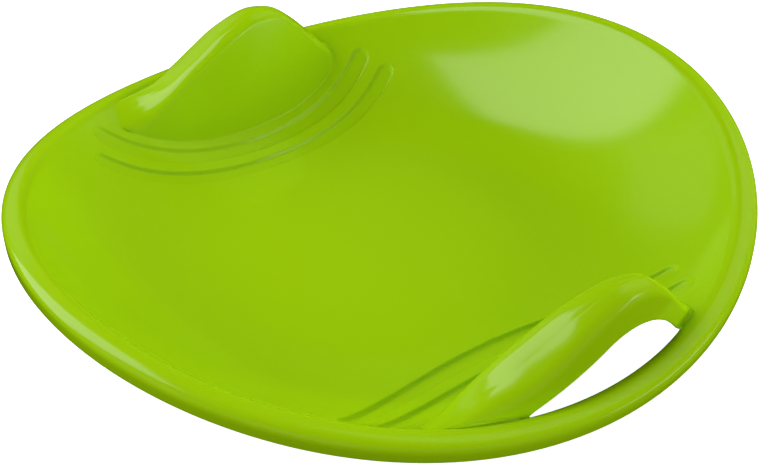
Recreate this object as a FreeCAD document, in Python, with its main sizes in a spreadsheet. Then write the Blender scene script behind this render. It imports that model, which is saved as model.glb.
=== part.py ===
"""Saucer sled: a round dish with a rolled, saddle-shaped rim and two hollow grip hoods.

Millimetres. The origin is on the ground under the middle of the dish, +Z is up,
+Y is the front of the sled and +X is the rider's right.
"""
import FreeCAD, Part
import math
import os

Vector = FreeCAD.Vector

# Driving dimensions: alias, value, meaning
SIZES = (
    ("outer_radius", 300.0, "axis to the outside of the rim's skirt"),
    ("wall", 4.0, "thickness of the moulded plastic"),
    ("flat_radius", 135.0, "flat middle of the dish, which rests on the ground"),
    ("steepness", 2.6, "slope of the dish's wall at its edge, as a multiple of its mean slope"),
    ("roll_inside", 8.4, "width of the rim's roll from the pan's edge to its crest"),
    ("roll_outside", 12.6, "width of the rim's roll from its crest to the skirt"),
    ("roll_drop", 8.0, "fall of the rim's roll from its crest to the skirt"),
    ("skirt_drop", 12.4, "crest of the rim down to the skirt's lower edge, on average"),
    ("skirt_tilt", 3.4, "how much less the skirt hangs down at the front, and more at the back"),
    ("crest_mean", 79.0, "mean height of the rim's crest above the ground"),
    ("crest_saddle", 24.2, "rise of the crest at front and back, fall at the sides"),
    ("crest_tilt", 9.2, "rise of the crest at the front, fall at the back"),
    ("lap", 6.0, "width of the half lap between pan and rim"),
    ("seam_gap", 0.2, "clearance between the pieces"),
    ("hood_ledge", 2.0, "strip of pan between a hood's outer wall and the rim"),
    ("hood_depth", 68.5, "foot of a hood's outer wall to the foot of its inner wall"),
    ("hood_setback", 13.0, "middle of a hood's inner wall behind the middle of the dish"),
    ("hood_bend", 458.0, "radius of a hood's inner wall in plan, at its foot"),
    ("inner_level", 14.0, "height at which the inner wall's foot is measured"),
    ("outer_level", 48.0, "height at which the outer wall's foot and both ends are measured"),
    ("inner_lean", 17.2, "lean of a hood's inner wall, degrees"),
    ("outer_lean", 9.0, "lean of a hood's outer wall, degrees"),
    ("hood_nose", 14.0, "radius of a hood's front end in plan"),
    ("hood_tail", 8.0, "radius of a hood's back end in plan"),
    ("hood_step", 1.6, "least height of a hood's ridges above the dish"),
    ("hood_edge", 9.0, "rounding of a hood's top edges"),
    ("grip_rise", 56.2, "peak of a hood above the rim's crest beside it"),
    ("grip_reach", 118.0, "length that a hood's ridges are drawn to, each way"),
    ("grip_lip", 13.5, "peak of a hood down to the corner that the window's sides meet in"),
    ("window_bend", 46.0, "rounding of that corner"),
    ("groove_setback", 10.0, "middle of the grooves behind the middle of the dish"),
    ("groove_bend", 290.4, "radius of the arc that the grooves run beside"),
    ("groove_margin", 11.4, "that arc to the first groove"),
    ("groove_wide", 15.9, "width of the first groove"),
    ("groove_step", 13.2, "first groove to the second"),
    ("groove_slim", 14.4, "width of the second groove"),
    ("groove_depth", 2.4, "depth of both grooves"),
    ("groove_sweep", 26.3, "half of the angle that the grooves sweep, degrees"),
    ("overrun", 20.0, "how far cuts run past what they cut"),
)

# Hood ridges seen from the side: share of grip_reach along the sled, then the inner and the
# outer ridge's shares of grip_rise up
RIDGE_SHARES = (
    (-1.14, -0.18, -0.03), (-0.92, -0.17, 0.09), (-0.64, 0.17, 0.20), (-0.47, 0.43, 0.31),
    (-0.30, 0.62, 0.51), (-0.10, 0.83, 0.77), (0.17, 1.00, 1.00), (0.31, 0.99, 0.98),
    (0.43, 0.91, 0.89), (0.61, 0.53, 0.61), (0.79, 0.10, 0.18), (0.92, -0.19, -0.12),
)
# Hand window seen from the side: its two feet and the corner over them, as shares of grip_reach
WINDOW_SHARES = (-0.54, 0.328, 0.695)
# Largest roundings: shares of a ridge's height above the dish and of the width of the hood's top
HEIGHT_SHARE = 0.8
WIDTH_SHARE = 0.4
# How much of an end's radius is left where the hood is cut off square
STUB_SHARE = 0.6

STATION_COUNT = 24
SECTION_COUNT = 36

doc = FreeCAD.newDocument("saucer_sled")
sheet = doc.addObject("Spreadsheet::Sheet", "sizes")
for row, (alias, value, meaning) in enumerate(SIZES, start=1):
    sheet.set("A%d" % row, alias)
    sheet.set("B%d" % row, str(value))
    sheet.set("C%d" % row, meaning)
    sheet.setAlias("B%d" % row, alias)
doc.recompute()

# Sizes that follow from the sheet
half_wall = sheet.wall / 2
crest_radius = sheet.outer_radius - sheet.roll_outside
seam_radius = crest_radius - sheet.roll_inside
bowl_run = seam_radius - sheet.flat_radius
side_crest = sheet.crest_mean - sheet.crest_saddle
lid_height = sheet.crest_mean + sheet.crest_saddle + sheet.crest_tilt + sheet.overrun
peak_height = side_crest + sheet.grip_rise
hood_out = seam_radius - sheet.hood_ledge
hood_in = hood_out - sheet.hood_depth
inner_lean = math.radians(sheet.inner_lean)
outer_lean = math.radians(sheet.outer_lean)


class Section:
    """One upright half plane through the dish, at an angle about its axis.

    A station is (radius, height, slope). The top skin is flat, then a parabola up to the
    seam, then a parabola that turns level at the crest, then one that falls to the skirt.
    """

    def __init__(self, angle):
        self.angle = angle
        saddle = sheet.crest_saddle * math.cos(2 * angle)
        self.crest = sheet.crest_mean - saddle + sheet.crest_tilt * math.sin(angle)
        gain = sheet.steepness * sheet.roll_inside / (2 * bowl_run)
        self.rise = (self.crest - sheet.wall) / (1 + gain)
        self.slope = sheet.steepness * self.rise / bowl_run
        self.foot = self.crest - sheet.skirt_drop + sheet.skirt_tilt * math.sin(angle)

    def flat(self, depth):
        """The edge of the flat middle, a depth into the plastic."""
        return (sheet.flat_radius, sheet.wall - depth, 0)

    def roll(self, run, depth):
        """A station of the roll, a run outward of the seam and a depth into the plastic."""
        part = run / sheet.roll_inside
        slope = self.slope * (1 - part)
        height = sheet.wall + self.rise + self.slope * run * (1 - part / 2)
        length = math.hypot(1, slope)
        return (seam_radius + run + depth * slope / length, height - depth / length, slope)

    def skirt(self, depth, height):
        """A station of the skirt, below the roll."""
        return (sheet.outer_radius - depth, height, 0)

    def place(self, radius, height):
        """A point of this plane in the sled's frame."""
        return Vector(radius * math.cos(self.angle), radius * math.sin(self.angle), height)

    def line(self, first, last):
        """A straight edge between two stations."""
        return Part.LineSegment(self.place(*first[:2]), self.place(*last[:2])).toShape()

    def curve(self, first, last):
        """A parabola that leaves both stations along their slopes."""
        lift = last[1] - first[1] + first[2] * first[0] - last[2] * last[0]
        radius = lift / (first[2] - last[2])
        height = first[1] + first[2] * (radius - first[0])
        bow = Part.BezierCurve()
        bow.setPoles([self.place(*first[:2]), self.place(radius, height), self.place(*last[:2])])
        return bow.toShape()

    def turn(self, depth):
        """The outer fall from the crest to the skirt, a depth into the plastic."""
        top, out = self.crest - depth, sheet.outer_radius - depth
        bow = Part.BezierCurve()
        bow.setPoles([
            self.place(crest_radius, top), self.place(out, top),
            self.place(out, self.crest - sheet.roll_drop),
        ])
        return bow.toShape()

    def pan_wire(self):
        """The pan from the flat's top skin, round the half lap, to the flat's underside."""
        tongue = sheet.lap - sheet.seam_gap
        return Part.Wire([
            self.curve(self.flat(0), self.roll(0, 0)),
            self.line(self.roll(0, 0), self.roll(0, half_wall)),
            self.curve(self.roll(0, half_wall), self.roll(tongue, half_wall)),
            self.line(self.roll(tongue, half_wall), self.roll(tongue, sheet.wall)),
            self.curve(self.roll(tongue, sheet.wall), self.roll(0, sheet.wall)),
            self.curve(self.roll(0, sheet.wall), self.flat(sheet.wall)),
        ])

    def rim_wire(self):
        """The rim: half lap over the pan, roll, outer fall and skirt."""
        wall, start, lap = sheet.wall, sheet.seam_gap, sheet.lap
        under = half_wall - sheet.seam_gap
        top, foot = self.crest - sheet.roll_drop, self.foot
        crest = sheet.roll_inside
        return Part.Wire([
            self.curve(self.roll(start, 0), self.roll(crest, 0)),
            self.turn(0),
            self.line(self.skirt(0, top), self.skirt(0, foot)),
            self.line(self.skirt(0, foot), self.skirt(wall, foot)),
            self.line(self.skirt(wall, foot), self.skirt(wall, top)),
            self.turn(wall),
            self.curve(self.roll(crest, wall), self.roll(lap, wall)),
            self.line(self.roll(lap, wall), self.roll(lap, under)),
            self.curve(self.roll(lap, under), self.roll(start, under)),
            self.line(self.roll(start, under), self.roll(start, 0)),
        ])

    def room_wire(self, depth):
        """The bowl's surface a depth into the plastic, and a wall up to a level lid."""
        edge = self.roll(0, depth)
        return Part.Wire([
            self.curve(self.flat(depth), edge),
            self.line(edge, (edge[0], lid_height, 0)),
        ])


def feature(name, shape):
    """A document object that holds a computed shape."""
    item = doc.addObject("Part::Feature", name)
    item.Shape = shape
    return item


def loft(name, wires, solid, closed):
    """A loft through wires, each of them a document object."""
    item = doc.addObject("Part::Loft", name)
    item.Sections = [feature("%s_section_%d" % (name, k), wire) for k, wire in enumerate(wires)]
    item.Solid = solid
    item.Closed = closed
    doc.recompute()
    return item


def capped(name, wires):
    """A ring of open sections lofted into a skin, its two level mouths closed by flat faces."""
    skin = loft(name + "_skin", wires, False, True).Shape
    mouths = [edge for edge in skin.Edges if edge.BoundBox.ZLength < sheet.seam_gap / 2]
    shell = Part.makeShell(skin.Faces + [Part.Face(Part.Wire([edge])) for edge in mouths])
    shell.sewShape()
    solid = Part.makeSolid(shell)
    if solid.Volume < 0:
        solid.reverse()
    return feature(name, solid)


def boolean(kind, name, base, tool):
    """A Cut or a Common of two document objects."""
    item = doc.addObject("Part::" + kind, name)
    item.Base = base
    item.Tool = tool
    doc.recompute()
    return item


def mirrored(name, source):
    """A document object mirrored to the other side of the sled."""
    item = doc.addObject("Part::Mirroring", name)
    item.Source = source
    item.Normal = Vector(1, 0, 0)
    doc.recompute()
    return item


def extruded(name, wire, direction, length):
    """A solid drawn from a closed wire, its length an expression of the sheet's sizes."""
    item = doc.addObject("Part::Extrusion", name)
    item.Base = feature(name + "_outline", wire)
    item.DirMode = "Custom"
    item.Dir = direction
    item.setExpression("LengthFwd", length)
    item.Solid = True
    doc.recompute()
    return item


def skin_height(x, y):
    """Height of the bowl's top skin over a point of the plan."""
    section = Section(math.atan2(y, x))
    share = (math.hypot(x, y) - sheet.flat_radius) / bowl_run
    bend = 1 - 1 / sheet.steepness
    part = (math.sqrt(bend ** 2 + (1 - 2 * bend) * share) - bend) / (1 - 2 * bend)
    return sheet.wall + section.rise * part ** 2


def ridge_share(place, column):
    """One of the ridges' shares at a place along the hood, on a smooth curve through the table."""
    rows = RIDGE_SHARES
    place = min(max(place, rows[0][0]), rows[-1][0])
    k = max(j for j in range(len(rows) - 1) if rows[j][0] <= place)

    def steepness(j):
        low, high = rows[max(j - 1, 0)], rows[min(j + 1, len(rows) - 1)]
        return (high[column] - low[column]) / (high[0] - low[0])

    run = rows[k + 1][0] - rows[k][0]
    t = (place - rows[k][0]) / run
    start, end = rows[k][column], rows[k + 1][column]
    bow = (1 - t) * steepness(k) * run - t * steepness(k + 1) * run - (1 - 2 * t) * (end - start)
    return start + t * (end - start) + t * (1 - t) * bow


def round_corner(corner, first, last, radius):
    """Start, middle and end of the arc that rounds a corner between two other points."""
    to_first = (first - corner).normalize()
    to_last = (last - corner).normalize()
    half = to_first.getAngle(to_last) / 2
    cut = radius / math.tan(half)
    middle = corner + (to_first + to_last).normalize() * (radius / math.sin(half))
    crown = middle + (corner - middle).normalize() * radius
    return corner + to_first * cut, crown, corner + to_last * cut


def outline(points):
    """A closed wire: an arc for each (start, middle, end), straight edges in between."""
    edges = []
    for item, after in zip(points, points[1:] + points[:1]):
        first = item[-1] if isinstance(item, tuple) else item
        last = after[0] if isinstance(after, tuple) else after
        if isinstance(item, tuple):
            edges.append(Part.Arc(*item).toShape())
        edges.append(Part.LineSegment(first, last).toShape())
    return Part.Wire(edges)


class Hood:
    """The outside of the right-hand grip hood, less an inset all round.

    In plan it lies between an arc about the dish's axis and an arc about a far centre, with a
    round nose and a round tail. Each station is an upright plane across the sled.
    """

    def __init__(self, inset):
        self.inset = inset
        self.out_radius = hood_out - inset / math.cos(outer_lean)
        reach = math.tan(inner_lean) * (sheet.outer_level - sheet.inner_level)
        self.in_radius = sheet.hood_bend - reach - inset / math.cos(inner_lean)
        self.centre = Vector(hood_in + sheet.hood_bend, -sheet.hood_setback, 0)
        self.nose = self.end(1, sheet.hood_nose - inset)
        self.tail = self.end(-1, sheet.hood_tail - inset)

    def end(self, side, radius):
        """Middle and radius of the circle that rounds the front or the back end."""
        far, near = self.out_radius - radius, self.in_radius - radius
        span = self.centre.Length
        along = (far ** 2 - near ** 2 + span ** 2) / (2 * span)
        aside = math.sqrt(far ** 2 - along ** 2)
        ahead = self.centre / span
        return ahead * along + Vector(-ahead.y, ahead.x, 0) * (side * aside), radius

    def plan(self, y):
        """The two feet of the walls at a station, in plan."""
        for (middle, radius), side in ((self.nose, 1), (self.tail, -1)):
            run = (y - middle.y) * side
            if run > 0:
                half = math.sqrt(max(radius ** 2 - run ** 2, 0))
                return middle.x - half, middle.x + half
        outer = math.sqrt(self.out_radius ** 2 - y ** 2)
        inner = self.centre.x - math.sqrt(self.in_radius ** 2 - (y - self.centre.y) ** 2)
        return inner, outer

    def stations(self):
        """Places along the sled, closer together towards the ends."""
        square = math.sqrt(1 - STUB_SHARE ** 2)
        back = self.tail[0].y - self.tail[1] * square
        front = self.nose[0].y + self.nose[1] * square
        for k in range(STATION_COUNT + 1):
            turn = math.cos(math.pi * k / STATION_COUNT)
            yield (back + front) / 2 - turn * (front - back) / 2

    def wire(self, y):
        """The closed outline of one station."""
        inner, outer = self.plan(y)
        lean = (math.tan(inner_lean), -math.tan(outer_lean))
        share = y / sheet.grip_reach
        step = sheet.seam_gap / sheet.grip_reach
        tops, bare = [], []
        for foot, column in ((inner, 1), (outer, 2)):
            ahead, behind = ridge_share(share + step, column), ridge_share(share - step, column)
            slope = sheet.grip_rise * (ahead - behind) / (2 * sheet.seam_gap)
            skin = skin_height(foot, y)
            ridge = max(side_crest + sheet.grip_rise * ridge_share(share, column), skin + sheet.hood_step)
            height = ridge - self.inset * math.hypot(1, slope)
            x = foot + lean[column - 1] * (height - sheet.outer_level)
            tops.append(Vector(x, y, height))
            bare.append(ridge - skin)
        low = -sheet.overrun
        feet = [
            Vector(foot + slant * (low - sheet.outer_level), y, low)
            for foot, slant in zip((inner, outer), lean)
        ]
        width = (tops[1] - tops[0]).Length
        corners = []
        for k in (0, 1):
            radius = min(sheet.hood_edge, HEIGHT_SHARE * bare[k]) - self.inset
            radius = min(max(radius, sheet.seam_gap), WIDTH_SHARE * width)
            ends = (feet[0], tops[1]) if k == 0 else (tops[0], feet[1])
            corners.append(round_corner(tops[k], ends[0], ends[1], radius))
        return outline([feet[0], corners[0], corners[1], feet[1]])


def hood_solid(name, inset):
    """A hood's outside, less an inset, run down past the ground."""
    hood = Hood(inset)
    return loft(name, [hood.wire(y) for y in hood.stations()], True, False)


def window_wire():
    """The hand window from the side: two sloping sides, a round top, and open below the ground."""
    start = hood_in + sheet.hood_depth / 2
    low = -sheet.overrun
    foot = sheet.outer_level
    back, top, front = (sheet.grip_reach * share for share in WINDOW_SHARES)
    heel = Vector(start, back, foot)
    toe = Vector(start, front, foot)
    corner = Vector(start, top, peak_height - sheet.grip_lip)
    crown = round_corner(corner, heel, toe, sheet.window_bend)
    return outline([Vector(start, back, low), heel, crown, toe, Vector(start, front, low)])


def groove_wire(inner, width):
    """One groove in plan: an arc-shaped slot with round ends."""
    centre = Vector(hood_in + sheet.groove_bend, -sheet.groove_setback, 0)
    sweep = math.radians(sheet.groove_sweep)

    def spot(radius, angle):
        return centre - Vector(math.cos(angle), math.sin(angle), 0) * radius

    middle, outer = inner + width / 2, inner + width
    bow = width / (2 * middle)
    arcs = (
        Part.Arc(spot(inner, -sweep), spot(inner, 0), spot(inner, sweep)),
        Part.Arc(spot(inner, sweep), spot(middle, sweep + bow), spot(outer, sweep)),
        Part.Arc(spot(outer, sweep), spot(outer, 0), spot(outer, -sweep)),
        Part.Arc(spot(outer, -sweep), spot(middle, -sweep - bow), spot(inner, -sweep)),
    )
    return Part.Wire([arc.toShape() for arc in arcs])


sections = [
    Section(2 * math.pi * k / SECTION_COUNT - math.pi / 2) for k in range(SECTION_COUNT)
]

# Rim
rim = loft("rim", [section.rim_wire() for section in sections], True, True)
rim.Label = "rolled_rim"

# Grip hoods, open to the ground and to the rim through the hand window
under_room = capped("under_room", [section.room_wire(sheet.wall) for section in sections])
hood_shell = boolean("Cut", "hood_shell", hood_solid("hood_body", 0), hood_solid("hood_core", sheet.wall))
hood_trim = boolean("Common", "hood_trim", hood_shell, under_room)
window = extruded("window", window_wire(), Vector(1, 0, 0), "sizes.hood_depth / 2 + sizes.overrun")
hood_right = boolean("Cut", "hood_right", hood_trim, window)
hood_right.Label = "grip_hood_right"
hood_left = mirrored("hood_left", hood_right)
hood_left.Label = "grip_hood_left"

# Pan, with an opening for each hood and two grooves beside each
groove_room = capped("groove_room", [section.room_wire(sheet.groove_depth) for section in sections])
first_inner = sheet.groove_bend + sheet.groove_margin
second_inner = first_inner + sheet.groove_wide + sheet.groove_step
depth = "sizes.crest_mean + sizes.overrun"
slots = doc.addObject("Part::MultiFuse", "slots")
slots.Shapes = [
    extruded("slot_one", groove_wire(first_inner, sheet.groove_wide), Vector(0, 0, 1), depth),
    extruded("slot_two", groove_wire(second_inner, sheet.groove_slim), Vector(0, 0, 1), depth),
]
grooves = boolean("Common", "grooves", slots, groove_room)
opening = hood_solid("opening", -sheet.seam_gap)
cuts = doc.addObject("Part::MultiFuse", "cuts")
cuts.Shapes = [opening, grooves, mirrored("opening_left", opening), mirrored("grooves_left", grooves)]
pan_blank = capped("pan_blank", [section.pan_wire() for section in sections])
pan = boolean("Cut", "pan", pan_blank, cuts)
pan.Label = "dish_pan"

doc.recompute()
for item in doc.Objects:
    if "Invalid" in item.State or "Error" in item.State:
        raise RuntimeError("%s failed: %s" % (item.Name, item.State))
os.makedirs("parts", exist_ok=True)
for item in (pan, rim, hood_right, hood_left):
    if item.Shape.isNull() or not item.Shape.isValid():
        raise RuntimeError("%s has no valid shape" % item.Label)
    item.Shape.exportStep("parts/%s.step" % item.Label)
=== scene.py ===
"""Saucer sled in glossy lime plastic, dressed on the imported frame.

The dish, its rolled rim and the two grip hoods are smooth meshes that follow the same formulas
as the solids, so every piece sits where its solid is. Lengths are millimetres until a vertex is
placed. +Z is up, +Y is the front of the sled and +X is the rider's right.
"""

import logging
import math
from dataclasses import dataclass
from enum import Enum
from functools import cached_property
from typing import Callable

import bmesh
import bpy
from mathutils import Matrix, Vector


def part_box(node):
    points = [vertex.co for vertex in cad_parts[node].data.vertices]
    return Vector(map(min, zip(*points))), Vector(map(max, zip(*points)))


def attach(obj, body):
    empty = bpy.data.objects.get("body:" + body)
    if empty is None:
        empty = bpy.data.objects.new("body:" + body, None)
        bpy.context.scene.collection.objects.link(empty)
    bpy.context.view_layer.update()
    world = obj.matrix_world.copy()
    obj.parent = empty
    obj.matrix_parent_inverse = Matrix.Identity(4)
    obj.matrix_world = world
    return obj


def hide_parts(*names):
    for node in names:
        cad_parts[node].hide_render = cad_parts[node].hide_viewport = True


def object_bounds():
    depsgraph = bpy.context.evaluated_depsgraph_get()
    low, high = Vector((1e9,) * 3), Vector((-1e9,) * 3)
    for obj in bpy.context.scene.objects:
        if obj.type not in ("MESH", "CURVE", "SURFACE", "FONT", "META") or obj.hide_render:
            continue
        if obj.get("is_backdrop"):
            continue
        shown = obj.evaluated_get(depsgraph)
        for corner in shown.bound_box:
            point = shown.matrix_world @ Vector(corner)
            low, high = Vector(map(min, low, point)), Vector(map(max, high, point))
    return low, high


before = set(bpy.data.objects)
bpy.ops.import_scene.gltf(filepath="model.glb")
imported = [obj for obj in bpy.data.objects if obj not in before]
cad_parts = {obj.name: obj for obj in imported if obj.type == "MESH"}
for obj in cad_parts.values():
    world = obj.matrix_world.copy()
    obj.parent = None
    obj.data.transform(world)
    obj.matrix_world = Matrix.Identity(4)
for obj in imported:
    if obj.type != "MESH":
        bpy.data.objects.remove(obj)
CAD_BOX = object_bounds()

LOG = logging.getLogger("saucer_sled")
MM = 0.001
BODY = "root"

# Vertices nearer than this many millimetres are one vertex
MERGE = 0.0002
# Faces that meet at more than this angle keep a sharp edge between them
SHARP_ANGLE = math.radians(42.0)
# A corner is never taken as sharper than this angle, in radians
LEAST_ANGLE = 0.02
# Half the width of a new grid, before its vertices are put in place
HALF_GRID = 0.5
# Distance in millimetres over which a surface's slope is measured
SLOPE_STEP = 0.05


class Side(Enum):
    """The two sides of the sled, as signs of X."""

    RIGHT = 1
    LEFT = -1


def between(first: float, last: float, share: float) -> float:
    """A value a share of the way from first to last."""
    return first + (last - first) * share


def unit(value: float) -> float:
    """A value held between 0 and 1."""
    return min(max(value, 0), 1)


def ease(share: float) -> float:
    """A share that starts and ends gently, held between 0 and 1."""
    share = unit(share)
    return share * share * (3 - 2 * share)


def fillet(corner: Vector, first: Vector, last: Vector, radius: float, count: int) -> list[Vector]:
    """Points of the arc that rounds a corner.

    Args:
        corner: The sharp corner.
        first: A point on the side where the arc starts.
        last: A point on the side where the arc ends.
        radius: Radius of the arc.
        count: Number of stretches that the arc is divided into.

    Returns:
        The arc's points from the first side to the last.
    """
    to_first, to_last = (first - corner).normalized(), (last - corner).normalized()
    half = max(to_first.angle(to_last), LEAST_ANGLE) / 2
    cut = radius / math.tan(half)
    middle = corner + (to_first + to_last).normalized() * (radius / math.sin(half))
    start, end = corner + to_first * cut - middle, corner + to_last * cut - middle
    sweep = math.pi - 2 * half
    points = []
    for k in range(count + 1):
        turn = sweep * k / count
        weights = math.sin(sweep - turn) / math.sin(sweep), math.sin(turn) / math.sin(sweep)
        points.append(middle + start * weights[0] + end * weights[1])
    return points


@dataclass(frozen=True)
class Bowl:
    """The dish's skin as a formula: a flat middle, a rising wall and a rolled, wavy rim."""

    outer_radius: float
    wall: float = 4.0
    flat_radius: float = 135.0
    steepness: float = 2.6
    roll_inside: float = 8.4
    roll_outside: float = 12.6
    roll_drop: float = 8.0
    skirt_drop: float = 12.4
    skirt_tilt: float = 3.4
    skirt_round: float = 0.8
    crest_mean: float = 79.0
    crest_saddle: float = 24.2
    crest_tilt: float = 9.2

    @property
    def crest_radius(self) -> float:
        """Radius at which the rim is highest."""
        return self.outer_radius - self.roll_outside

    @property
    def seam_radius(self) -> float:
        """Radius at which the dish ends and the rim starts."""
        return self.crest_radius - self.roll_inside

    @property
    def bowl_run(self) -> float:
        """Width of the rising wall in plan."""
        return self.seam_radius - self.flat_radius

    def crest(self, angle: float) -> float:
        """Height of the rim's crest at an angle about the axis."""
        saddle = self.crest_saddle * math.cos(2 * angle)
        return self.crest_mean - saddle + self.crest_tilt * math.sin(angle)

    def rise(self, angle: float) -> float:
        """Height that the wall gains from the flat middle to the seam."""
        gain = self.steepness * self.roll_inside / (2 * self.bowl_run)
        return (self.crest(angle) - self.wall) / (1 + gain)

    def foot(self, angle: float) -> float:
        """Height of the skirt's lower edge at an angle about the axis."""
        return self.crest(angle) - self.skirt_drop + self.skirt_tilt * math.sin(angle)

    def skin(self, x: float, y: float) -> float:
        """Height of the top skin over a point of the plan, inside the seam."""
        share = max(math.hypot(x, y) - self.flat_radius, 0) / self.bowl_run
        bend = 1 - 1 / self.steepness
        part = (math.sqrt(bend ** 2 + (1 - 2 * bend) * share) - bend) / (1 - 2 * bend)
        return self.wall + self.rise(math.atan2(y, x)) * part ** 2

    def surface(self, x: float, y: float) -> float:
        """Height of the top side over a point of the plan, from the middle to the rim's crest."""
        run = min(math.hypot(x, y) - self.seam_radius, self.roll_inside)
        return self.skin(x, y) if run <= 0 else self.roll(math.atan2(y, x), run, 0)[1]

    def roll(self, angle: float, run: float, depth: float) -> tuple[float, float]:
        """A point of the roll's section.

        Args:
            angle: Angle about the axis.
            run: Distance outward of the seam.
            depth: Depth into the plastic.

        Returns:
            Radius and height.
        """
        part = run / self.roll_inside
        start = self.steepness * self.rise(angle) / self.bowl_run
        height = self.wall + self.rise(angle) + start * run * (1 - part / 2)
        slope = start * (1 - part)
        length = math.hypot(1, slope)
        return self.seam_radius + run + depth * slope / length, height - depth / length


def upward(height: Callable[[float, float], float], x: float, y: float) -> Vector:
    """The upward normal of a surface that is given as a height over the plan."""
    step = SLOPE_STEP
    along = (height(x + step, y) - height(x - step, y)) / (2 * step)
    across = (height(x, y + step) - height(x, y - step)) / (2 * step)
    return Vector((-along, -across, 1)).normalized()


@dataclass(frozen=True)
class Groove:
    """A shallow channel beside a hood: a slot along an arc, with round ends and soft lips."""

    centre: Vector
    radius: float
    width: float
    sweep: float
    depth: float = 3.4
    lip: float = 1.1

    def away(self, x: float, y: float) -> float:
        """Distance of a point of the plan from the channel's middle line."""
        arm = self.centre - Vector((x, y))
        angle = math.atan2(arm.y, arm.x)
        if abs(angle) <= self.sweep:
            return abs(arm.length - self.radius)
        end = math.copysign(self.sweep, angle)
        return (arm - Vector((math.cos(end), math.sin(end))) * self.radius).length

    def sink(self, x: float, y: float) -> float:
        """Depth of the channel under the dish's skin."""
        share = (self.width / 2 + self.lip - self.away(x, y)) / (2 * self.lip)
        return self.depth * ease(share)


@dataclass(frozen=True)
class Foot:
    """A point of a hood's outline in plan, at the level that both walls are measured at.

    share runs from 0 on the inner wall to 1 on the outer wall.
    """

    place: Vector
    inward: Vector
    lean: float
    share: float


@dataclass(frozen=True)
class Tip:
    """The circle that rounds one end of a hood in plan."""

    middle: Vector
    radius: float
    first: Vector
    last: Vector

    def covers(self, arm: Vector) -> bool:
        """Whether a point, seen from the circle's middle, lies over the rounded end."""
        return self.first.cross(arm) >= 0 and arm.cross(self.last) >= 0


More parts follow.
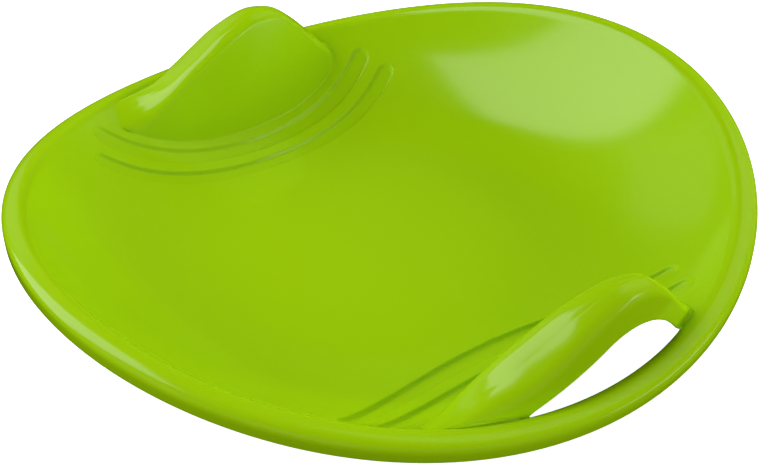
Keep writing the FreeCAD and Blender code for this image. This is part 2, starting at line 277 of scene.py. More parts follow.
@dataclass(frozen=True)
class HoodForm:
    """The outside of the right-hand grip hood as formulas."""

    bowl: Bowl
    ledge: float = 2.0
    depth: float = 69.3
    setback: float = 13.0
    bend: float = 458.0
    inner_level: float = 14.0
    outer_level: float = 48.0
    inner_lean: float = math.tan(math.radians(17.2))
    outer_lean: float = math.tan(math.radians(9.0))
    nose: float = 14.0
    tail: float = 7.0
    spread: float = 4.0
    edge: float = 13.0
    tail_edge: float = 26.0
    rise: float = 56.2
    reach: float = 118.0
    lip: float = 13.8
    window_bend: float = 60.0
    crown: float = 0.8
    shell: float = 1.2
    sunk: float = 1.5
    base_round: float = 2.6
    overlap: float = 0.6
    taper: float = 15.0
    lip_round: float = 1.0
    base_rounds: int = 6
    ridge_rounds: int = 4

    # Ridges seen from the side: share of reach along, the inner and the outer ridge's share of rise
    ridge_shares = (
        (-1.14, -0.18, -0.03), (-0.92, -0.17, 0.09), (-0.64, 0.17, 0.20), (-0.47, 0.43, 0.31),
        (-0.30, 0.62, 0.51), (-0.10, 0.83, 0.77), (0.17, 1.00, 1.00), (0.31, 0.99, 0.98),
        (0.43, 0.91, 0.89), (0.61, 0.53, 0.61), (0.79, 0.10, 0.18), (0.92, -0.19, -0.12),
    )
    # Hand window seen from the side: its two feet and the corner over them, as shares of reach
    window_shares = (-0.58, 0.36, 0.71)
    # Where the tail starts to run out onto the rim and where it is fully out, as shares of reach
    spread_shares = (-0.64, -1.0)

    @cached_property
    def out_radius(self) -> float:
        """Radius of the outer wall about the dish's axis."""
        return self.bowl.seam_radius - self.ledge

    @cached_property
    def in_radius(self) -> float:
        """Radius of the inner wall about its own centre."""
        return self.bend - self.inner_lean * (self.outer_level - self.inner_level)

    @cached_property
    def centre(self) -> Vector:
        """Centre of the inner wall's arc in plan."""
        return Vector((self.out_radius - self.depth + self.bend, -self.setback))

    @cached_property
    def side_crest(self) -> float:
        """Height of the rim's crest beside the hood."""
        return self.bowl.crest_mean - self.bowl.crest_saddle

    def tip(self, side: int, radius: float, spread: float) -> Tip:
        """The circle that touches both walls.

        Args:
            side: 1 at the front, -1 at the back.
            radius: The circle's radius.
            spread: How far the outer wall is moved out.

        Returns:
            The rounded end.
        """
        far, near = self.out_radius + spread - radius, self.in_radius - radius
        span = self.centre.length
        along = (far ** 2 - near ** 2 + span ** 2) / (2 * span)
        aside = side * math.sqrt(far ** 2 - along ** 2)
        ahead = self.centre / span
        middle = ahead * along + Vector((-ahead.y, ahead.x)) * aside
        inner, outer = (middle - self.centre).normalized(), middle.normalized()
        return Tip(middle, radius, outer, inner) if side > 0 else Tip(middle, radius, inner, outer)

    @cached_property
    def tips(self) -> tuple[Tip, Tip]:
        """The rounded front and back ends of the opening under the hood."""
        return self.tip(1, self.nose, 0), self.tip(-1, self.tail, 0)

    @cached_property
    def tail_tip(self) -> Tip:
        """The rounded back end of the hood itself, which lies partly on the rim."""
        return self.tip(-1, self.tail, self.spread)

    def tail_share(self, y: float) -> float:
        """How far a place along the sled is into the tail, from 0 to 1."""
        start, end = self.spread_shares
        return ease((y / self.reach - start) / (end - start))

    def edge_radius(self, y: float, share: float) -> float:
        """Radius between the hood's top and a wall, wider on the inner side of the tail."""
        return between(self.edge, self.tail_edge, self.tail_share(y) * (1 - share))

    @cached_property
    def window_feet(self) -> tuple[float, float]:
        """Where the hand window's two sides start, along the sled."""
        return self.window_shares[0] * self.reach, self.window_shares[2] * self.reach

    def ridge(self, y: float, share: float) -> float:
        """Height of the hood's top, between its inner ridge (0) and its outer ridge (1)."""
        rows = self.ridge_shares
        place = min(max(y / self.reach, rows[0][0]), rows[-1][0])
        k = max(j for j in range(len(rows) - 1) if rows[j][0] <= place)
        run = rows[k + 1][0] - rows[k][0]
        t = (place - rows[k][0]) / run
        heights = []
        for column in (1, 2):
            slopes = []
            for j in (k, k + 1):
                low, high = rows[max(j - 1, 0)], rows[min(j + 1, len(rows) - 1)]
                slopes.append(run * (high[column] - low[column]) / (high[0] - low[0]))
            start, end = rows[k][column], rows[k + 1][column]
            bow = (1 - t) * slopes[0] - t * slopes[1] - (1 - 2 * t) * (end - start)
            heights.append(start + t * (end - start) + t * (1 - t) * bow)
        return self.side_crest + self.rise * between(heights[0], heights[1], share)

    def window(self, y: float) -> float:
        """Height of the hand window's edge at a place along the sled."""
        heel, toe = self.window_feet
        peak = self.side_crest + self.rise - self.lip
        corner = Vector((self.window_shares[1] * self.reach, peak, 0))
        back, front = Vector((heel, self.outer_level, 0)), Vector((toe, self.outer_level, 0))
        arc = fillet(corner, back, front, self.window_bend, 2)
        if y <= heel or y >= toe:
            return self.outer_level
        if y < arc[0].x:
            return between(back.y, arc[0].y, (y - heel) / (arc[0].x - heel))
        if y > arc[2].x:
            return between(front.y, arc[2].y, (toe - y) / (toe - arc[2].x))
        middle = arc[1] + (arc[0] + arc[2] - 2 * arc[1]).normalized() * self.window_bend
        return middle.y + math.sqrt(self.window_bend ** 2 - (y - middle.x) ** 2)

    def wall_point(self, foot: Foot, height: float) -> Vector:
        """A point of a leaning wall at a height."""
        run = foot.lean * (height - self.outer_level)
        return (foot.place + foot.inward * run).to_3d() + Vector((0, 0, height))

    def base(self, foot: Foot) -> Vector:
        """Where a wall meets the dish's skin."""
        height = self.outer_level
        for _ in range(self.base_rounds):
            spot = self.wall_point(foot, height)
            height = self.bowl.surface(spot.x, spot.y)
        return self.wall_point(foot, height)

    def ridge_height(self, foot: Foot) -> float:
        """Height of the sharp corner that a wall and the hood's top would make."""
        height = self.outer_level
        for _ in range(self.ridge_rounds):
            height = self.ridge(self.wall_point(foot, height).y, foot.share)
        return height

    def inside(self, x: float, y: float) -> float:
        """Distance inside the hood's outline on the dish's skin, negative outside it."""
        spot = Vector((x, y))
        under = self.outer_level - self.bowl.skin(x, y)
        for tip in self.tips:
            arm = spot - tip.middle
            if tip.covers(arm):
                return tip.radius + under * (self.inner_lean + self.outer_lean) / 2 - arm.length
        inner = self.in_radius + under * self.inner_lean - (spot - self.centre).length
        outer = self.out_radius + under * self.outer_lean - spot.length
        return min(inner, outer)

    def across(self, x: float, y: float) -> float:
        """Share of the way from the inner wall (0) to the outer wall (1) in plan."""
        inner = self.centre.x - math.sqrt(self.in_radius ** 2 - (y - self.centre.y) ** 2)
        outer = math.sqrt(self.out_radius ** 2 - y ** 2)
        return unit((x - inner) / max(outer - inner, 1))

    def hole(self, x: float, y: float) -> float:
        """Distance inside the opening that the dish has under the hood."""
        share = self.across(x, y)
        clear = self.ridge(y, share) - self.bowl.skin(x, y) - self.sunk
        return min(self.inside(x, y) + between(self.overlap, -self.shell / 2, share), clear / 2)


@dataclass(frozen=True)
class Plastic:
    """A glossy moulded plastic: two close tones, a soft gloss and a fine moulded grain."""

    name: str
    tone: tuple[float, float, float]
    drift: tuple[float, float, float]
    roughness: float
    unevenness: float
    grain: float
    ior: float = 1.47
    cloud_scale: float = 9.0
    cloud_detail: float = 3.0
    mould_scale: float = 160.0
    mould_detail: float = 4.0
    peel_scale: float = 320.0
    peel_detail: float = 2.0
    bump_distance: float = 0.0001

    def build(self) -> bpy.types.Material:
        """Makes the material.

        Returns:
            The material, with its nodes in place.
        """
        shader = Shader(self.name)
        place = shader.node("ShaderNodeTexCoord").outputs["Object"]
        cloud = shader.noise(place, self.cloud_scale, self.cloud_detail)
        mould = shader.noise(place, self.mould_scale, self.mould_detail)
        peel = shader.noise(place, self.peel_scale, self.peel_detail)
        tone = shader.node(
            "ShaderNodeMix", {"data_type": "RGBA", "blend_type": "MIX"},
            Factor=cloud, A=(*self.tone, 1.0), B=(*self.drift, 1.0),
        )
        gloss = (cloud - 0.5) * self.unevenness + (mould - 0.5) * self.unevenness + self.roughness
        bump = shader.node(
            "ShaderNodeBump", None,
            Strength=self.grain, Distance=self.bump_distance, Height=peel + mould,
        )
        shader.node(
            "ShaderNodeBsdfPrincipled", None, shader.surface,
            Base_Color=tone.outputs["Result"], Roughness=gloss, Normal=bump.outputs["Normal"],
            IOR=self.ior,
        )
        return shader.material


class Value:
    """A number in a shader, with arithmetic that adds Math nodes."""

    def __init__(self, shader: "Shader", socket: bpy.types.NodeSocket) -> None:
        """Wraps a socket of a shader."""
        self.shader = shader
        self.socket = socket

    def calculate(self, operation: str, first: "Value | float", last: "Value | float") -> "Value":
        """The result of one Math node."""
        node = self.shader.node("ShaderNodeMath", {"operation": operation}, None, first, last)
        return Value(self.shader, node.outputs["Value"])

    def __add__(self, other: "Value | float") -> "Value":
        """self + other."""
        return self.calculate("ADD", self, other)

    def __radd__(self, other: float) -> "Value":
        """other + self."""
        return self.calculate("ADD", other, self)

    def __sub__(self, other: "Value | float") -> "Value":
        """self - other."""
        return self.calculate("SUBTRACT", self, other)

    def __rsub__(self, other: float) -> "Value":
        """other - self."""
        return self.calculate("SUBTRACT", other, self)

    def __mul__(self, other: "Value | float") -> "Value":
        """self * other."""
        return self.calculate("MULTIPLY", self, other)

    def __rmul__(self, other: float) -> "Value":
        """other * self."""
        return self.calculate("MULTIPLY", other, self)


class Shader:
    """A material and its node tree."""

    def __init__(self, name: str) -> None:
        """Starts a material with nothing but its output."""
        self.material = bpy.data.materials.new(name)
        self.material.use_nodes = True
        self.tree = self.material.node_tree
        self.tree.nodes.clear()
        self.surface = self.tree.nodes.new("ShaderNodeOutputMaterial").inputs["Surface"]

    def node(
        self, kind: str, settings: dict[str, object] | None = None, into: bpy.types.NodeSocket | None = None,
        *values: object, **named: object,
    ) -> bpy.types.Node:
        """Adds a node of any kind.

        Args:
            kind: The node's type.
            settings: Its settings, which are set before its sockets.
            into: A socket that its first output feeds.
            values: Values or links of its sockets, in order.
            named: Values or links of its sockets by name, with _ for a space.

        Returns:
            The node.
        """
        node = self.tree.nodes.new(kind)
        for name, value in (settings or {}).items():
            setattr(node, name, value)
        sockets = [(node.inputs[k], value) for k, value in enumerate(values)]
        for name, value in named.items():
            socket = next(s for s in node.inputs if s.name == name.replace("_", " ") and s.enabled)
            sockets.append((socket, value))
        for socket, value in sockets:
            if isinstance(value, Value):
                value = value.socket
            if isinstance(value, bpy.types.NodeSocket):
                self.tree.links.new(value, socket)
            else:
                socket.default_value = value
        if into is not None:
            self.tree.links.new(node.outputs[0], into)
        return node

    def noise(self, place: bpy.types.NodeSocket, scale: float, detail: float) -> Value:
        """A cloud of numbers from 0 to 1, at a scale per metre."""
        node = self.node(
            "ShaderNodeTexNoise", {"noise_dimensions": "3D"}, None,
            Vector=place, Scale=scale, Detail=detail,
        )
        return Value(self, node.outputs[0])


LIME = Plastic(
    name="lime_plastic_gloss", tone=(0.372, 0.655, 0.0025), drift=(0.384, 0.668, 0.0030),
    roughness=0.15, unevenness=0.02, grain=0.001,
)


def face_outwards(mesh: bmesh.types.BMesh) -> None:
    """Turns the faces of a closed mesh outwards."""
    bmesh.ops.recalc_face_normals(mesh, faces=mesh.faces)
    if mesh.calc_volume(signed=True) < 0:
        bmesh.ops.reverse_faces(mesh, faces=mesh.faces)


def formula_grid(
    mesh: bmesh.types.BMesh, columns: int, rows: int, place: Callable[[int, int], Vector],
) -> None:
    """Adds a grid whose vertices are put in place by a formula, and merges those that meet.

    Args:
        mesh: The mesh that takes the grid.
        columns: Stretches along the grid.
        rows: Stretches across the grid.
        place: Gives the millimetre place of a column and a row.
    """
    made = bmesh.ops.create_grid(mesh, x_segments=columns, y_segments=rows, size=HALF_GRID)["verts"]
    for vertex in made:
        column, row = (vertex.co.x + HALF_GRID) * columns, (vertex.co.y + HALF_GRID) * rows
        vertex.co = place(round(column), round(row)) * MM
    bmesh.ops.remove_doubles(mesh, verts=made, dist=MERGE * MM)
    face_outwards(mesh)


def finish_piece(
    name: str, node: str, mesh: bmesh.types.BMesh, material: bpy.types.Material,
    normal: Callable[[Vector, Vector], Vector | None],
) -> bpy.types.Object:
    """Turns a mesh into a smooth piece that stands for a solid of the frame.

    Args:
        name: Name of the piece.
        node: The solid that it replaces.
        mesh: Its mesh, which is freed.
        material: Its material.
        normal: Gives the exact normal at a millimetre place of a face with a normal, or None.

    Returns:
        The piece.
    """
    data = bpy.data.meshes.new(name)
    mesh.to_mesh(data)
    mesh.free()
    data.materials.append(material)
    data.shade_smooth()
    data.set_sharp_from_angle(angle=SHARP_ANGLE)
    normals = [Vector(corner.vector) for corner in data.corner_normals]
    for face in data.polygons:
        for corner in face.loop_indices:
            place = data.vertices[data.loops[corner].vertex_index].co / MM
            normals[corner] = normal(place, face.normal) or normals[corner]
    data.normals_split_custom_set(normals)
    piece = bpy.data.objects.new(name, data)
    bpy.context.scene.collection.objects.link(piece)
    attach(piece, BODY)
    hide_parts(node)
    LOG.info("%s: %d faces", name, len(data.polygons))
    return piece


@dataclass(frozen=True)
class DishPan:
    """The dish: flat middle, rising wall, two grooves beside each hood and an opening under it."""

    bowl: Bowl
    hood: HoodForm
    segments: int = 576
    flat_step: float = 15.0
    wall_step: float = 4.0
    fine: int = 3
    fine_margin: float = 2.0
    ledge_round: float = 2.2
    ledge_rings: int = 3
    seam_overlap: float = 0.3
    tuck_slope: float = 3.0
    groove_setback: float = 10.0
    groove_bend: float = 290.4
    groove_margin: float = 10.6
    groove_wide: float = 15.9
    groove_gap: float = 13.2
    groove_slim: float = 14.4
    groove_sweep: float = math.radians(26.3)
    top_facing: float = 0.3
    edge_probe: float = 0.1
    edge_rounds: int = 6
    edge_slope: float = 0.05
    seam_margin: float = 0.5

    @cached_property
    def hood_start(self) -> float:
        """Distance from the middle of the sled past which a hood's own forms can lie."""
        return self.hood.out_radius - 2 * self.hood.depth

    @cached_property
    def ledge_radius(self) -> float:
        """Radius of the dish's edge under a hand window."""
        return self.hood.out_radius - self.hood.shell / 2

    @cached_property
    def grooves(self) -> tuple[Groove, Groove]:
        """The wide groove next to the hood and the slim one beyond it."""
        start = self.hood.out_radius - self.hood.depth + self.groove_bend
        centre = Vector((start, -self.groove_setback))
        first = self.groove_bend + self.groove_margin + self.groove_wide / 2
        second = first + self.groove_wide / 2 + self.groove_gap + self.groove_slim / 2
        return (
            Groove(centre, first, self.groove_wide, self.groove_sweep),
            Groove(centre, second, self.groove_slim, self.groove_sweep),
        )

    def ledge_drop(self, x: float, y: float) -> float:
        """How far the dish's edge under a hand window rounds down."""
        heel, toe = self.hood.window_feet
        part = self.ledge_radius + self.ledge_round - math.hypot(x, y)
        if not heel < y < toe or not 0 < part < 2 * self.ledge_round:
            return 0.0
        part = min(part, self.ledge_round)
        fade = min((y - heel) / (2 * self.ledge_round), (toe - y) / (2 * self.ledge_round), 1)
        return fade * (self.ledge_round - math.sqrt(self.ledge_round ** 2 - part ** 2))

    def top(self, x: float, y: float) -> float:
        """Height of the dish's top skin with its grooves and its ledges."""
        x = abs(x)
        height = self.bowl.skin(x, y)
        if x > self.hood_start:
            height -= max(groove.sink(x, y) for groove in self.grooves)
            height -= self.ledge_drop(x, y)
        return height

    def tuck(self, x: float, y: float) -> float:
        """How far the dish's edge dips under the rim."""
        return self.tuck_slope * max(math.hypot(x, y) - self.bowl.seam_radius, 0)

    def detailed(self, x: float, y: float) -> bool:
        """Whether a point of the plan needs fine faces."""
        x = abs(x)
        if x < self.hood_start:
            return False
        reach = self.fine_margin + self.grooves[0].lip
        beside = any(abs(g.away(x, y) - g.width / 2) < reach for g in self.grooves)
        return beside or abs(self.hood.inside(x, y)) < self.fine_margin

    def thickness(self, x: float, y: float) -> float:
        """Thickness of the dish, which tapers to the hood's own where it bends up into the hood."""
        x = abs(x)
        if x < self.hood_start or abs(y) > self.hood.out_radius / 2:
            return self.bowl.wall
        away = unit(-self.hood.inside(x, y) / self.hood.taper)
        return between(self.hood.shell, self.bowl.wall, max(away, self.hood.across(x, y)))

    def hole(self, spot: Vector) -> float:
        """Distance of a vertex inside the opening under the hood on its side."""
        return self.hood.hole(abs(spot.x) / MM, spot.y / MM)

    def radii(self) -> list[float]:
        """Radii of the rings that the dish is spun from."""
        flat = round(self.bowl.flat_radius / self.flat_step)
        rings = [self.bowl.flat_radius * k / flat for k in range(flat)]
        start = self.ledge_radius - self.ledge_round
        wall = round((start - self.bowl.flat_radius) / self.wall_step)
        rings += [between(self.bowl.flat_radius, start, k / wall) for k in range(wall + 1)]
        last, count = self.bowl.seam_radius, self.ledge_rings
        rings += [between(self.ledge_radius, last, k / count) for k in range(count + 1)]
        return rings + [last + self.seam_overlap]

    def open_hoods(self, mesh: bmesh.types.BMesh) -> None:
        """Cuts the opening under each hood and draws its edge onto the hood's wall."""
        near = self.hood_start * MM
        far = [face for face in mesh.faces if abs(face.calc_center_median().x) > near]
        gone = [face for face in far if self.hole(face.calc_center_median()) > 0]
        bmesh.ops.delete(mesh, geom=gone, context="FACES")
        step, seam = self.edge_probe * MM, (self.bowl.seam_radius - self.seam_margin) * MM
        along, across = Vector((step, 0, 0)), Vector((0, step, 0))
        for vertex in mesh.verts:
            spot = vertex.co
            if not vertex.is_boundary or spot.xy.length > seam:
                continue
            for _ in range(self.edge_rounds):
                away = self.hole(spot)
                slope = Vector((
                    self.hole(spot + along) - self.hole(spot - along),
                    self.hole(spot + across) - self.hole(spot - across), 0,
                )) / (2 * step / MM)
                if slope.length > self.edge_slope:
                    spot -= slope * (away * MM / slope.length_squared)
            vertex.co = spot

    def build(self, material: bpy.types.Material) -> bpy.types.Object:
        """Builds the dish.

        Args:
            material: Its material.

        Returns:
            The piece.
        """
        mesh = bmesh.new()
        chain = [mesh.verts.new((radius * MM, 0, 0)) for radius in self.radii()]
        for first, last in zip(chain, chain[1:]):
            mesh.edges.new((first, last))
        bmesh.ops.spin(
            mesh, geom=list(mesh.verts) + list(mesh.edges), cent=(0, 0, 0), axis=(0, 0, 1),
            angle=math.tau, steps=self.segments, use_merge=True,
        )
        bmesh.ops.remove_doubles(mesh, verts=mesh.verts, dist=MERGE * MM)
        self.open_hoods(mesh)
        top = list(mesh.faces)
        under = mesh.verts.layers.int.new("under")
        for item in bmesh.ops.extrude_face_region(mesh, geom=top)["geom"]:
            if isinstance(item, bmesh.types.BMVert):
                x, y = item.co.x / MM, item.co.y / MM
                spot = Vector((x, y, self.bowl.skin(x, y)))
                item.co = (spot - upward(self.bowl.skin, x, y) * self.thickness(x, y)) * MM
                item[under] = 1
        fine = set()
        for face in mesh.faces:
            middle = face.calc_center_median() / MM
            if not any(vertex[under] for vertex in face.verts) and self.detailed(middle.x, middle.y):
                fine.update(face.edges)
        bmesh.ops.subdivide_edges(mesh, edges=list(fine), cuts=self.fine, use_grid_fill=True)
        for vertex in mesh.verts:
            if not vertex[under]:
                x, y = vertex.co.x / MM, vertex.co.y / MM
                vertex.co.z = (self.top(x, y) - self.tuck(x, y)) * MM
        face_outwards(mesh)

        def normal(place: Vector, facing: Vector) -> Vector | None:
            """The exact normal of the top skin."""
            return upward(self.top, place.x, place.y) if facing.z > self.top_facing else None

        return finish_piece("dish", "dish_pan", mesh, material, normal)


@dataclass(frozen=True)
class RolledRim:
    """The rim: a roll that carries the dish's wall over its crest and down to a short skirt."""

    bowl: Bowl
    segments: int = 576
    roll_rows: int = 24
    turn_rows: int = 12
    edge_rows: int = 5
    seam_tolerance: float = 0.01

    def section(self, angle: float) -> list[tuple[float, float]]:
        """The rim's closed section at an angle about the axis, as radii and heights."""
        bowl, wall, small = self.bowl, self.bowl.wall, self.bowl.skirt_round
        crest, low = bowl.crest(angle), bowl.foot(angle) + small

        def turn(depth: float, share: float) -> tuple[float, float]:
            """A point of the outer fall from the crest to the skirt."""
            radius = between(bowl.crest_radius, bowl.outer_radius - depth, share * (2 - share))
            return radius, between(crest - depth, crest - bowl.roll_drop, share ** 2)

        def edge(radius: float, share: float) -> tuple[float, float]:
            """A point of the small round at the skirt's lower edge."""
            lean = share * math.pi / 2
            return radius + small * math.cos(lean), low - small * math.sin(lean)

        over, under = self.roll_rows, self.roll_rows // 2
        rows = [bowl.roll(angle, bowl.roll_inside * k / over, 0) for k in range(over)]
        rows += [turn(0, k / self.turn_rows) for k in range(self.turn_rows + 1)]
        outer, inner = bowl.outer_radius - small, bowl.outer_radius - wall + small
        rows += [edge(outer, k / self.edge_rows) for k in range(self.edge_rows + 1)]
        rows += [edge(inner, between(1, 2, k / self.edge_rows)) for k in range(self.edge_rows + 1)]
        rows += [turn(wall, 1 - k / self.edge_rows) for k in range(self.edge_rows)]
        rows += [bowl.roll(angle, bowl.roll_inside * (1 - k / under), wall) for k in range(under + 1)]
        return rows + rows[:1]

    def build(self, material: bpy.types.Material) -> bpy.types.Object:
        """Builds the rim.

        Args:
            material: Its material.

        Returns:
            The piece.
        """
        angles = [math.tau * k / self.segments for k in range(self.segments)]
        sections = [self.section(angle) for angle in angles]

        def place(column: int, row: int) -> Vector:
            """A vertex of the rim."""
            angle = angles[column % self.segments]
            radius, height = sections[column % self.segments][row]
            return Vector((radius * math.cos(angle), radius * math.sin(angle), height))

        mesh = bmesh.new()
        formula_grid(mesh, self.segments, len(sections[0]) - 1, place)

        def normal(spot: Vector, facing: Vector) -> Vector | None:
            """The exact normal along the seam."""
            if abs(spot.xy.length - self.bowl.seam_radius) > self.seam_tolerance or facing.z < 0:
                return None
            return upward(self.bowl.skin, spot.x, spot.y)

        return finish_piece("rim", "rolled_rim", mesh, material, normal)


@dataclass(frozen=True)
class GripHood:
    """One grip hood: a hollow arched shell with a hand window in its outer wall."""

    form: HoodForm
    side: Side
    back_stations: int = 36
    window_stations: int = 84
    front_stations: int = 14
    tip_stations: int = 16
    base_rows: int = 8
    wall_rows: int = 10
    edge_rows: int = 10
    top_rows: int = 8
    tuck: float = 0.02
    # Shares of the room at hand that the rounds at a section's edges may take
    flare_share: float = 0.6
    end_share: float = 0.5
    sill_share: float = 0.45
    edge_share: float = 0.8
    least_flare: float = 0.05
    # Thickness of the plastic, as shares of the edge's radius, of the shell and of the room below
    shell_share: float = 0.7
    least_shell: float = 0.25
    lid_least: float = 0.2
    lid_share: float = 0.3
    foot_share: float = 0.2

    @cached_property
    def turns(self) -> list[tuple[float, float]]:
        """Angles of the paired stations along the inner and the outer wall, back to front."""
        form = self.form

        def at_tip(tip: Tip) -> tuple[float, float]:
            """Angles of a rounded end's middle about the centres of both walls."""
            arm = tip.middle - form.centre
            return math.atan2(arm.y, -arm.x), math.atan2(tip.middle.y, tip.middle.x)

        def along(y: float) -> tuple[float, float]:
            """Angles at which both walls reach a place along the sled."""
            return math.asin((y - form.centre.y) / form.in_radius), math.asin(y / form.out_radius)

        heel, toe = form.window_feet
        stops = [at_tip(form.tail_tip), along(heel), along(toe), at_tip(form.tips[0])]
        counts = (self.back_stations, self.window_stations, self.front_stations)
        turns = [stops[0]]
        for first, last, count in zip(stops, stops[1:], counts):
            for k in range(1, count + 1):
                turns.append(tuple(between(a, b, k / count) for a, b in zip(first, last)))
        return turns

    def fan(self, tip: Tip, start: float, end: float, first: float, last: float) -> list[Foot]:
        """Feet round one end, between the walls' own feet."""
        form, feet = self.form, []
        for k in range(1, self.tip_stations):
            part = k / self.tip_stations
            angle, share = between(start, end, part), between(first, last, part)
            way = Vector((math.cos(angle), math.sin(angle)))
            lean = between(form.inner_lean, form.outer_lean, share)
            feet.append(Foot(tip.middle + way * tip.radius, -way, lean, share))
        return feet

    @cached_property
    def feet(self) -> list[Foot]:
        """The outline: inner wall to the front, nose, outer wall to the back, tail."""
        form = self.form
        inner, outer = [], []
        for near, far in self.turns:
            way = Vector((-math.cos(near), math.sin(near)))
            inner.append(Foot(form.centre + way * form.in_radius, -way, form.inner_lean, 0))
            way = Vector((math.cos(far), math.sin(far)))
            radius = form.out_radius + form.spread * form.tail_share(form.out_radius * way.y)
            outer.append(Foot(way * radius, -way, form.outer_lean, 1))
        nose, tail = form.tips[0], form.tail_tip
        front = self.fan(nose, math.pi - self.turns[-1][0], self.turns[-1][1], 0, 1)
        back = self.fan(tail, self.turns[0][1], -math.pi - self.turns[0][0], 1, 0)
        return inner + front + outer[::-1] + back

    @cached_property
    def crowns(self) -> list[Vector]:
        """For each foot, the point of the hood's middle line that its section ends at."""
        count = len(self.turns)
        corners = [self.form.wall_point(foot, self.height(foot)) for foot in self.feet]
        outer = corners[count + self.tip_stations - 1:][:count][::-1]
        line = [(a + b) / 2 + Vector((0, 0, self.form.crown)) for a, b in zip(corners, outer)]
        fan = self.tip_stations - 1
        return line + [line[-1]] * fan + line[::-1] + [line[0]] * fan

    def height(self, foot: Foot) -> float:
        """Height of the sharp ridge over a foot, at least a little under the dish's skin."""
        return max(self.form.ridge_height(foot), self.form.base(foot).z - self.form.sunk)

    def section(self, k: int) -> list[Vector]:
        """One section from the middle line down the outside, round the base and up the inside."""
        form, foot, crown = self.form, self.feet[k], self.crowns[k]
        height = self.height(foot)
        corner = form.wall_point(foot, height)
        cut = self.over_window(foot)
        low, skirt = self.hem(foot, height, cut)
        room = self.edge_share * min((low - corner).length, (crown - corner).length)
        half = (low - corner).angle(crown - corner) / 2
        rounding = min(form.edge_radius(corner.y, foot.share), room * math.tan(half))
        edge = fillet(corner, low, crown, rounding, self.edge_rows)
        rows = []
        for j in range(self.top_rows):
            part = j / self.top_rows
            rows.append(crown.lerp(edge[-1], part) + Vector((0, 0, form.crown * part * (1 - part))))
        rows += edge[::-1]
        rows += [edge[0].lerp(skirt[-1], j / self.wall_rows) for j in range(1, self.wall_rows)]
        rows += skirt[::-1]
        shell = max(min(form.shell, self.shell_share * rounding), self.least_shell * form.shell)
        return rows + self.lining(rows, foot, shell, cut)

    def over_window(self, foot: Foot) -> bool:
        """Whether the section over a foot ends at the hand window's edge."""
        heel, toe = self.form.window_feet
        if foot.share != 1 or not heel < foot.place.y < toe:
            return False
        return self.form.window(foot.place.y) > self.form.base(foot).z

    def hem(self, foot: Foot, height: float, cut: bool) -> tuple[Vector, list[Vector]]:
        """The lower edge of a section's outside: a flare onto the dish, or the window's lip.

        Args:
            foot: The section's foot.
            height: Height of the sharp ridge over it.
            cut: Whether the section ends over the hand window.

        Returns:
            The wall's sharp lower end, and the points of the round in its place.
        """
        form, base, inward = self.form, self.form.base(foot), foot.inward.to_3d()
        if cut:
            sill = form.window(foot.place.y)
            low = form.wall_point(foot, sill)
            aside = low + inward * form.edge
            flare = min(form.lip_round, self.sill_share * (sill - base.z))
        else:
            low = form.wall_point(foot, min(base.z, height - form.lip_round))
            aside = low - inward * form.edge
            aside.z = form.bowl.surface(aside.x, aside.y)
            flare = min(form.base_round, self.flare_share * (height - low.z))
            if foot.share == 1:
                gap = min(abs(foot.place.y - end) for end in form.window_feet)
                flare = min(flare, self.end_share * gap)
        if height <= base.z + form.lip_round:
            flare = 0
        corner = form.wall_point(foot, height)
        skirt = fillet(low, aside, corner, max(flare, self.least_flare), self.base_rows)
        if not cut:
            skirt[0].z -= self.tuck
        return low, skirt

    def lining(self, rows: list[Vector], foot: Foot, shell: float, cut: bool) -> list[Vector]:
        """The inside of one section, from its lower edge to the middle line.

        Args:
            rows: The section's outside, from the middle line to its lower edge.
            foot: The section's foot.
            shell: Thickness of the plastic.
            cut: Whether the section ends over the hand window.

        Returns:
            The inside's points.
        """
        bowl, crown = self.form.bowl, rows[0]
        inward, up = foot.inward.to_3d(), Vector((0, 0, 1))
        clear = max(crown.z - bowl.surface(crown.x, crown.y), 0)
        lid = -up * min(self.form.shell, self.lid_least + self.lid_share * clear)
        points = [crown + lid]
        lower = self.base_rows + self.wall_rows
        for j in range(1, len(rows)):
            way = (rows[min(j + 1, len(rows) - 1)] - rows[j - 1]).normalized()
            inside = (up * way.dot(inward) - inward * way.z).normalized() * shell
            thin = 1 if cut else min(self.foot_share + (len(rows) - 1 - j) / lower, 1)
            points.append(rows[j] + lid.lerp(inside * thin, min(j / self.top_rows, 1)))
        if cut:
            last = len(rows) - 1 - self.base_rows
            for j in range(last, len(rows)):
                points[j] = points[last].lerp(rows[-1], (j - last) / self.base_rows)
        return points[::-1]

    def build(self, material: bpy.types.Material) -> bpy.types.Object:
        """Builds the hood.

        Args:
            material: Its material.

        Returns:
            The piece.
        """
        sections = [self.section(k) for k in range(len(self.feet))]

        def place(column: int, row: int) -> Vector:
            """A vertex of the hood."""
            spot = sections[column % len(sections)][row]
            return Vector((spot.x * self.side.value, spot.y, spot.z))

        mesh = bmesh.new()
        formula_grid(mesh, len(sections), len(sections[0]) - 1, place)
        name = self.side.name.lower()

        def normal(spot: Vector, facing: Vector) -> None:
            """Leaves the smooth normals as they are."""

        return finish_piece("hood_" + name, "grip_hood_" + name, mesh, material, normal)


@dataclass(frozen=True)
class Softbox:
    """A soft studio light that faces the sled, in degrees, metres and watts."""

    name: str
    azimuth: float
    elevation: float
    width: float
    height: float
    power: float
    shine: bool = True
    distance: float = 1.8

    def build(self) -> None:
        """Adds the light."""
        light = bpy.data.lights.new(self.name, "AREA")
        light.shape, light.size, light.size_y = "RECTANGLE", self.width, self.height
        light.energy = self.power
        lamp = bpy.data.objects.new(self.name, light)
        turn, lift = math.radians(self.azimuth), math.radians(self.elevation)
        way = Vector((math.cos(turn) * math.cos(lift), math.sin(turn) * math.cos(lift), math.sin(lift)))
        lamp.location = way * self.distance
        lamp.rotation_euler = way.to_track_quat("Z", "Y").to_euler()
        lamp.visible_camera = False
        lamp.visible_glossy = self.shine
        bpy.context.scene.collection.objects.link(lamp)


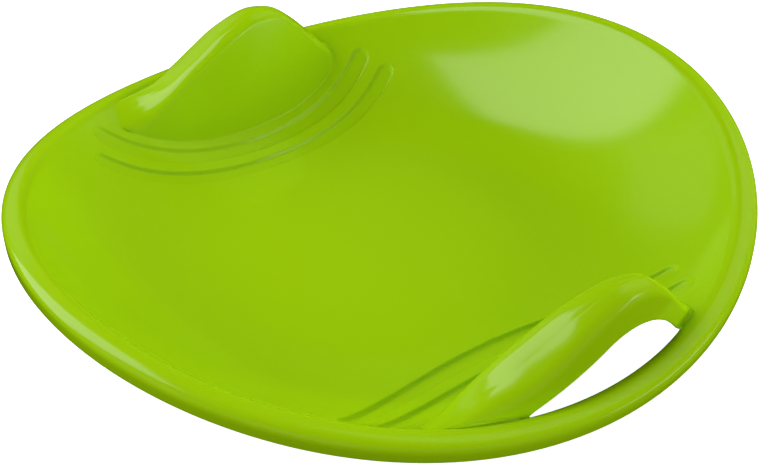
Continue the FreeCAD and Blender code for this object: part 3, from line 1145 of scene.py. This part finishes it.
# Fill lights all round, which light the sled but don't mirror in it: name, azimuth and power
FILLS = (
    ("fill_front", 90.0, 17.0), ("fill_right_front", 45.0, 2.2), ("fill_right", 0.0, 3.2),
    ("fill_right_back", -45.0, 7.5), ("fill_back", -90.0, 6.0), ("fill_left_back", -135.0, 2.5),
    ("fill_left", 180.0, 6.5), ("fill_left_front", 135.0, 2.7),
)
FILL_ELEVATION = 25.0
FILL_SIZE = 1.0
SOFTBOXES = (
    *(
        Softbox(name, azimuth, FILL_ELEVATION, FILL_SIZE, FILL_SIZE, power, shine=False)
        for name, azimuth, power in FILLS
    ),
    Softbox("fill_low", 45.0, 8.0, 0.5, 0.3, 7.5, shine=False),
    Softbox("key", -134.0, 43.0, 1.15, 1.9, 17.5),
    Softbox("streak", 38.0, 19.0, 0.9, 0.2, 1.4),
    Softbox("side", -174.0, 24.0, 0.8, 0.8, 0.5),
    Softbox("top_front", 90.0, 58.0, 1.0, 1.0, 1.3),
)


@dataclass(frozen=True)
class Studio:
    """The floor, the lights and the camera."""

    sky: float = 1.0
    floor_half: float = 6.0
    floor_tone: float = 0.85
    floor_glow: float = 0.9
    lens: float = 60.47
    camera_place: tuple[float, float, float] = (0.7209, -0.4927, 0.6485)
    camera_turn: tuple[float, float] = (54.01, 55.65)

    def floor(self) -> None:
        """Lays a plain white floor under the sled."""
        mesh = bmesh.new()
        bmesh.ops.create_grid(mesh, x_segments=1, y_segments=1, size=self.floor_half)
        data = bpy.data.meshes.new("floor")
        mesh.to_mesh(data)
        mesh.free()
        shader = Shader("floor_white")
        tone = (self.floor_tone, self.floor_tone, self.floor_tone, 1.0)
        shader.node(
            "ShaderNodeBsdfPrincipled", None, shader.surface,
            Base_Color=tone, Roughness=1.0, Specular_IOR_Level=0.0,
            Emission_Color=(1.0, 1.0, 1.0, 1.0), Emission_Strength=self.floor_glow,
        )
        data.materials.append(shader.material)
        floor = bpy.data.objects.new("floor", data)
        floor.visible_glossy = floor.visible_diffuse = False
        bpy.context.scene.collection.objects.link(floor)
        floor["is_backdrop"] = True

    def light(self) -> None:
        """Sets a white surround that only the camera sees, and the softboxes."""
        scene = bpy.context.scene
        scene.world = bpy.data.worlds.new("surround")
        scene.world.use_nodes = True
        back = scene.world.node_tree.nodes["Background"]
        back.inputs["Color"].default_value = (1.0, 1.0, 1.0, 1.0)
        back.inputs["Strength"].default_value = self.sky
        scene.world.cycles_visibility.diffuse = False
        scene.world.cycles_visibility.glossy = False
        scene.view_settings.view_transform = "Standard"
        for box in SOFTBOXES:
            box.build()

    def camera(self) -> None:
        """Puts the camera at the photograph's viewpoint."""
        data = bpy.data.cameras.new("camera")
        data.lens = self.lens
        view = bpy.data.objects.new("camera", data)
        view.location = self.camera_place
        tilt, turn = (math.radians(angle) for angle in self.camera_turn)
        view.rotation_euler = (tilt, 0, turn)
        bpy.context.scene.collection.objects.link(view)
        bpy.context.scene.camera = view


def main() -> None:
    """Builds the sled's pieces in order, then the studio."""
    logging.basicConfig(level=logging.INFO, format="%(name)s: %(message)s")
    low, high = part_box("rolled_rim")
    bowl = Bowl(outer_radius=(high[0] - low[0]) / 2 / MM)
    form = HoodForm(bowl)
    lime = LIME.build()
    DishPan(bowl, form).build(lime)
    RolledRim(bowl).build(lime)
    for side in Side:
        GripHood(form, side).build(lime)
    studio = Studio()
    studio.floor()
    studio.light()
    studio.camera()
    boxes = {"cad": CAD_BOX, "scene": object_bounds()}
    sizes = {name: [list(corner) for corner in box] for name, box in boxes.items()}


if __name__ == "__main__":
    main()
